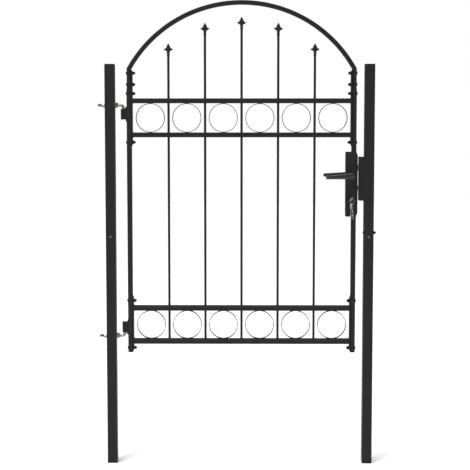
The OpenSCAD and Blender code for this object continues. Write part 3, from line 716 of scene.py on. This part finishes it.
def bead(bm, points, r, closed=False, n=7):
    """Rippled weld bead along a row of points, in millimetres."""
    points = [Vector(p) for p in points]
    count = len(points)
    rings = []
    for i, p in enumerate(points):
        before = points[i - 1] if (i or closed) else p
        after = points[(i + 1) % count] if (i < count - 1 or closed) else p
        along = (after - before).normalized()
        side = along.cross(UP if abs(along.z) < 0.8 else BACK).normalized()
        other = along.cross(side)
        taper = 1.0 if closed else min(1.0, 0.35 + 1.3 * min(i, count - 1 - i) / max(count - 1, 1) * 3)
        size = r * taper * (1 + 0.16 * math.sin(i * 2.4) + rng.uniform(-0.08, 0.08)) * MM
        rings.append([p + (side * math.cos(TURN * k / n) + other * math.sin(TURN * k / n)) * size
                      for k in range(n)])
    add_rings(bm, rings, loop=closed)


def line(a, b, pitch=1.6 * MM):
    a, b = Vector(a), Vector(b)
    steps = max(3, int((b - a).length / pitch))
    return [a + (b - a) * i / steps for i in range(steps + 1)]


bm = bmesh.new()
for rail in RAILS:
    a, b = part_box(rail)
    for x in (a.x, b.x):
        inward = 0.7 * MM if x == a.x else -0.7 * MM
        for z in (a.z - 0.2 * MM, b.z + 0.2 * MM):
            bead(bm, line((x + inward, -13 * MM, z), (x + inward, 13 * MM, z)), 1.9)
        for y in (a.y, b.y):
            bead(bm, line((x, y, a.z + 1.5 * MM), (x, y, b.z - 1.5 * MM)), 0.9)
r = 5.3 * MM  # just outside a bar
for bar in BARS:
    x = mid(bar).x
    for rail in RAILS:
        a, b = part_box(rail)
        for z in ((b.z,) if rail == "bottom_rail" else (a.z, b.z)):
            collar = [(x + r * math.cos(TURN * k / 20), r * math.sin(TURN * k / 20), z) for k in range(20)]
            bead(bm, collar, 1.0, closed=True)
for node, lower, upper in BANDS:
    for cx in ring_row(node)[2]:
        for z in (high(lower).z, low(upper).z):
            for y in (-5.4 * MM, 5.4 * MM):
                bead(bm, line((cx - 6.5 * MM, y, z), (cx + 6.5 * MM, y, z)), 1.5)
for node in ("hinge_eye_upper", "hinge_eye_lower"):
    a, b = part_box(node)
    for y in (-8 * MM, 8 * MM):
        bead(bm, line((LEAF_L, y, a.z + 2 * MM), (LEAF_L, y, b.z - 2 * MM)), 1.3)
a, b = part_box("lock_stile_lower")
half, x = (b.x - a.x) / 2, mid("lock_stile_lower").x
corners = [(-half, -half), (half, -half), (half, half), (-half, half)]
for z in (low("lock_case").z, high("lock_case").z):
    path = []
    for (x0, y0), (x1, y1) in zip(corners, corners[1:] + corners[:1]):
        path += line((x + x0, y0, z), (x + x1, y1, z))[:-1]
    bead(bm, path, 1.4, closed=True)
for side in (1, -1):
    place = on_mitre(side)
    loop = [place(u / TUBE + 0.5, v) for u, v in rounded_rect(TUBE, TUBE, 2.2, 4)]
    bead(bm, loop, 0.75, closed=True)
piece("weld_beads", bm, BLACK, "leaf", sharp=60)


# ---------------------------------------------------------------- lock

softened("lock_case", 1.8 * MM, 0.03, 3)
softened("lock_forend", 0.8 * MM, 0.004, 2)
softened("keeper", 2.0 * MM, 0.03, 3)


def plate(bm, node, side, corner=6.0):
    """Escutcheon: a long plate with rounded ends, a soft outer edge and a raised collar round the neck."""
    a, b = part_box(node)
    t = (b.y - a.y) / MM
    w, h = (b.x - a.x) / MM, (b.z - a.z) / MM
    outline = rounded_rect(w, h, corner, 6)
    back = a.y if side > 0 else b.y
    rings = []
    for by, y in ((0, 0), (0, t - 1.3), (0.35, t - 0.6), (1.1, t - 0.2), (2.2, t), (5, t)):
        rings.append([Vector(((a.x + b.x) / 2 + x * MM, back + side * y * MM, (a.z + b.z) / 2 + z * MM))
                      for x, z in inset(outline, by)])
    add_rings(bm, rings)
    at = (HANDLE_AT.x, back + side * t * MM, HANDLE_AT.z)
    collar = ((13.5, -0.5), (13.5, 0.6), (13.0, 1.4), (11.6, 2.0), (10.4, 2.2), (9.2, 2.2))
    turned(bm, collar, facing(at, (0, side, 0)), 40)


for node, side in (("escutcheon_front", -1), ("escutcheon_back", 1)):
    bm = bmesh.new()
    plate(bm, node, side)
    piece(node + "_plate", bm, BLACK, "leaf", [node])

bm = bmesh.new()
head_r = 4
for z in (low("lock_screws").z + head_r * MM, high("lock_screws").z - head_r * MM):
    pan_screw(bm, facing((high("lock_forend").x, 0, z), RIGHT), head_r, 1.6, 2, 14)
for z in (low("escutcheon_front").z + 7 * MM, high("escutcheon_front").z - 7 * MM):
    pan_screw(bm, facing((HANDLE_AT.x, low("escutcheon_front").y, z), FRONT), head_r, 1.6, 2, 8)
    pan_screw(bm, facing((HANDLE_AT.x, high("escutcheon_back").y, z), BACK), head_r, 1.6, 2, 8)
piece("lock_pan_screws", bm, BLACK, "leaf", ["lock_screws"])

bm = bmesh.new()
head_r = 4.5
for z in (high("keeper_screws").z - head_r * MM, low("keeper_screws").z + head_r * MM):
    pan_screw(bm, facing((low("keeper").x, 0, z), LEFT), head_r, 2.4, 2.5, 28)
piece("keeper_pan_screws", bm, ZINC, "posts", ["keeper_screws"])
bm = bmesh.new()
pan_screw(bm, facing((high("lock_forend").x, 0, mid("cylinder_screw").z), RIGHT), head_r, 1.6, 2.5, 30)
piece("cylinder_pan_screw", bm, ZINC, "leaf", ["cylinder_screw"])

for node in ("latch_bolt", "dead_bolt"):
    softened(node, 0.5 * MM, 0.002, 2)


HUB_R, LEVER_HALF = 12.4, 7.0


def lever(bm, node, side, tip_low, tip_high):
    """side is -1 on the front. A round neck, a hub and a crowned blade that tapers to a blunt tip."""
    a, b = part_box(node)
    reach = (HANDLE_AT.x - a.x) / MM
    middle = (a.y + LEVER_HALF * MM) if side < 0 else (b.y - LEVER_HALF * MM)
    hub = HUB_R
    steps = [hub * math.sin(math.radians(d)) for d in (90, 87, 82, 75, 66, 55, 42, 28, 14)] + [0]
    steps += [-(reach - 3) * i / 16 for i in range(1, 17)] + [-reach + 2, -reach + 1.1, -reach + 0.4, -reach]
    ends = {-reach + 2: 0.95, -reach + 1.1: 0.84, -reach + 0.4: 0.66, -reach: 0.42}
    rings = []
    for x in steps:
        t = min(max(-x / (reach - 3), 0), 1)
        if x > 0:
            top = math.sqrt(max(hub * hub - x * x, 0.09))
            bottom = -top
        else:
            top, bottom = hub + (tip_high - hub) * t, -hub + (tip_low + hub) * t
        small = ends.get(x, 1.0)
        half_z, half_y = (top - bottom) / 2 * small, (LEVER_HALF - 0.9 * t) * min(1.0, 0.35 + 0.65 * small)
        if x > hub * 0.9:
            half_y = LEVER_HALF * (0.55 + 0.45 * math.sqrt(max(0.0, (hub - x) / (hub * 0.1))))
        centre_z = (top + bottom) / 2
        ring = []
        for k in range(36):
            c, q = math.cos(TURN * k / 36), math.sin(TURN * k / 36)
            y = middle + half_y * MM * math.copysign(abs(c) ** 0.5, c)
            z = HANDLE_AT.z + (centre_z + half_z * math.copysign(abs(q) ** 0.62, q)) * MM
            ring.append(Vector((HANDLE_AT.x + x * MM, y, z)))
        rings.append(ring)
    add_rings(bm, rings)
    neck = abs(middle) / MM - 6
    profile = ((9, 18), (9, neck - 9), (8.5, neck - 7.5), (8.5, neck - 6), (9.2, neck - 3.4),
               (10.4, neck - 1), (10.8, neck + 3))
    turned(bm, profile, facing((HANDLE_AT.x, 0, HANDLE_AT.z), (0, side, 0)), 40)


for node, side, tip_low, tip_high in (("handle_front", -1, -12.3, 1.5), ("handle_back", 1, -7.5, 6.5)):
    bm = bmesh.new()
    lever(bm, node, side, tip_low, tip_high)
    piece(node + "_lever", bm, LEVER, "handle", [node], sharp=50)


# ---------------------------------------------------------------- keys

KEY_T = 1.9
HOLE_R, HOLE_UP = 3.6, 7


def key_splines(blade):
    """Outlines of a key and its hole, with the bow's middle at 0, 0 and the blade and its cut teeth down."""
    bow = []
    for d in range(-62, 243, 8):
        a = math.radians(d)
        r = 11.9 - 0.8 * abs(math.sin(1.5 * (a - math.pi / 2))) ** 2
        bow.append((r * math.cos(a), r * math.sin(a)))
    cuts = [(-4, -10.5), (-4, -14.5)]
    depths = (1.2, 2.4, 0.8, 2.0, 1.4, 2.6, 0.6)
    pitch = (blade - 7) / len(depths)
    for i, depth in enumerate(depths):
        z = -16 - i * pitch
        cuts += [(-4, z), (-4 + depth, z - pitch * 0.32), (-4 + depth, z - pitch * 0.58), (-4, z - pitch * 0.9)]
    end = -12 - blade
    cuts += [(-3.4, end + 1.5), (-1.2, end), (1.6, end), (4, end + 3), (4, -13.5), (4, -10.5)]
    hole = []
    for d in range(360, 0, -15):
        a = math.radians(d)
        hole.append((HOLE_R * math.cos(a), HOLE_UP + HOLE_R * math.sin(a)))
    return bow + cuts, hole


def key_mesh(name, blade):
    """Flat key blank, pressed from sheet with softened edges."""
    curve = bpy.data.curves.new(name, "CURVE")
    curve.dimensions = "2D"
    curve.fill_mode = "BOTH"
    soft = 0.25 * MM
    curve.extrude = KEY_T / 2 * MM - soft
    curve.bevel_depth = soft
    curve.bevel_resolution = 1
    curve.offset = -soft
    for points in key_splines(blade):
        spline = curve.splines.new("POLY")
        spline.points.add(len(points) - 1)
        for target, (x, y) in zip(spline.points, points):
            target.co = (x * MM, y * MM, 0, 1)
        spline.use_cyclic_u = True
    holder = bpy.data.objects.new(name, curve)
    bpy.context.scene.collection.objects.link(holder)
    bpy.context.view_layer.update()
    mesh = bpy.data.meshes.new_from_object(holder.evaluated_get(bpy.context.evaluated_depsgraph_get()))
    bpy.data.objects.remove(holder)
    bpy.data.curves.remove(curve)
    return mesh


def key_piece(name, node, body, blade, matrix):
    mesh = key_mesh(name, blade)
    bm = bmesh.new()
    bm.from_mesh(mesh)
    bpy.data.meshes.remove(mesh)
    bmesh.ops.remove_doubles(bm, verts=bm.verts, dist=1e-6)
    bm.transform(matrix)
    piece(name, bm, NICKEL, body, [node])


KEY_TILT = math.radians(28)
HOLE_IN = HOLE_UP * MM
bow_at = Matrix.Translation(Vector((KEY_AT.x, RING_AT.y + HOLE_IN, KEY_AT.z)))
flat_to_key = Matrix(((0, 0, 1, 0), (0, -1, 0, 0), (1, 0, 0, 0), (0, 0, 0, 1)))
key_piece("key_in_cylinder", "key_in_lock", "key", 20,
          bow_at @ Matrix.Rotation(KEY_TILT, 4, "Y") @ flat_to_key)

RING_R, RING_TURN, SPARE_SHIFT = 11.0, math.radians(30), 1.45
SPARE_DROP = 2 * RING_R + HOLE_R - 0.7 - 0.2
for node, side, lean in (("spare_key_left", 1, 3), ("spare_key_right", -1, 6)):
    aside = side * SPARE_SHIFT
    at = RING_AT + Vector((-aside * math.cos(RING_TURN), aside * math.sin(RING_TURN), -SPARE_DROP)) * MM
    place = (Matrix.Translation(at) @ Matrix.Rotation(math.pi / 2 - RING_TURN, 4, "Z")
             @ Matrix.Rotation(math.radians(side * lean), 4, "X") @ Matrix.Translation((0, 0, -HOLE_IN))
             @ Matrix.Rotation(math.pi / 2, 4, "X"))
    key_piece(node + "_cut", node, "key_bunch", 43, place)

# Split ring: two turns of flat wire side by side, with its ends apart
bm = bmesh.new()
rings = []
wire, wire_wide = 0.34, 0.62
steps = 150
for i in range(steps + 1):
    s = i / steps
    a = 2.06 * TURN * s + 0.9
    shift = (2 * s - 1) * wire * 1.02
    out = Vector((math.cos(a), math.sin(a), 0))
    centre = Vector((RING_R * math.cos(a), RING_R * math.sin(a), shift))
    rings.append([(centre + out * wire_wide * math.cos(TURN * k / 8) + UP * wire * math.sin(TURN * k / 8)) * MM
                  for k in range(8)])
stand = (Matrix.Translation(RING_AT - UP * RING_R * MM) @ Matrix.Rotation(-RING_TURN, 4, "Z")
         @ Matrix.Rotation(math.pi / 2, 4, "X"))
add_rings(bm, rings, stand)
piece("split_ring", bm, STEEL, "key_bunch", ["key_ring"])


# ---------------------------------------------------------------- what is left of the CAD, as it is

for row in frame["record"]["subparts"]:
    node = row["node"]
    shown = frame["nodes"][node]
    material = DARK_NICKEL if node in ("cylinder_body", "cylinder_plug") else SLOT_MATERIAL[SLOTS[node]]
    if not shown.material_slots:
        shown.data.materials.append(material)
    for holder in shown.material_slots:
        holder.material = material


# ---------------------------------------------------------------- floor, light and camera

def floor(size=14):
    mesh = bpy.data.meshes.new("floor")
    corners = [(-size, -size, 0), (size, -size, 0), (size, size, 0), (-size, size, 0)]
    mesh.from_pydata(corners, [], [(0, 1, 2, 3)])
    p = Paint("floor_pale", specular=0.2)
    tone = p.mix(p.noise(1.5, 2), (0.86, 0.86, 0.855), (0.89, 0.89, 0.885))
    rough = p.span(p.noise(3, 2), 0, 1, 0.75, 0.85)
    mesh.materials.append(p.finish(tone, rough, [(p.noise(200, 2), 0.00005)]))
    made = bpy.data.objects.new("floor", mesh)
    bpy.context.scene.collection.objects.link(made)


def light(name, at, size, power, aim):
    data = bpy.data.lights.new(name, "AREA")
    data.shape = "RECTANGLE"
    data.size, data.size_y = size
    data.energy = power
    made = bpy.data.objects.new(name, data)
    made.location = at
    made.rotation_euler = (Vector(aim) - Vector(at)).to_track_quat("-Z", "Y").to_euler()
    bpy.context.scene.collection.objects.link(made)


floor()
light("key_light", (-2.2, -3.0, 4.2), (2.2, 1.6), 100, (0.5, 0, 1.0))
light("fill_light", (3.4, -3.8, 2.4), (1.6, 2.6), 24, (0.5, 0, 0.9))
light("back_light", (0.6, 4.2, 4.0), (3.5, 2.0), 25, (0.5, 0, 0.9))
sky = bpy.data.lights.new("overhead_light", "SUN")
sky.energy = 3.6
sky.angle = math.radians(40)
overhead = bpy.data.objects.new("overhead_light", sky)
overhead.rotation_euler = (math.radians(12), math.radians(-10), 0)
bpy.context.scene.collection.objects.link(overhead)

# White behind the gate, and a dimmer room for the paint to reflect
world = bpy.data.worlds.new("studio")
bpy.context.scene.world = world
world.use_nodes = True
sheet = world.node_tree
background = sheet.nodes["Background"]
ray = sheet.nodes.new("ShaderNodeLightPath")
level = sheet.nodes.new("ShaderNodeMapRange")
level.inputs["To Min"].default_value = 0.2
level.inputs["To Max"].default_value = 1.0
sheet.links.new(ray.outputs["Is Camera Ray"], level.inputs["Value"])
sheet.links.new(level.outputs["Result"], background.inputs["Strength"])
background.inputs["Color"].default_value = (1, 1, 1, 1)
bpy.context.scene.view_settings.view_transform = "Standard"

# The eye is above the leaf's middle and looks a little down; the shift does the rest of the framing
EYE_X, EYE_Z, EYE_DISTANCE = 0.5418, 1.42, 4.08
SHIFT = -0.085
LENS = 75.7
SENSOR = 36.0
AIM_X, AIM_Z = 0.5169, 0.968
cam_data = bpy.data.cameras.new("camera")
cam_data.lens = LENS
cam_data.sensor_width = SENSOR
cam_data.shift_y = SHIFT
camera = bpy.data.objects.new("camera", cam_data)
bpy.context.scene.collection.objects.link(camera)
bpy.context.scene.camera = camera
camera.location = (EYE_X, low("hinge_post").y - EYE_DISTANCE, EYE_Z)
tilt = math.atan((EYE_Z - AIM_Z) / EYE_DISTANCE) - math.atan(-SHIFT * SENSOR / LENS)
yaw = math.atan((EYE_X - AIM_X) / EYE_DISTANCE)
camera.rotation_euler = (math.pi / 2 - tilt, 0, yaw)
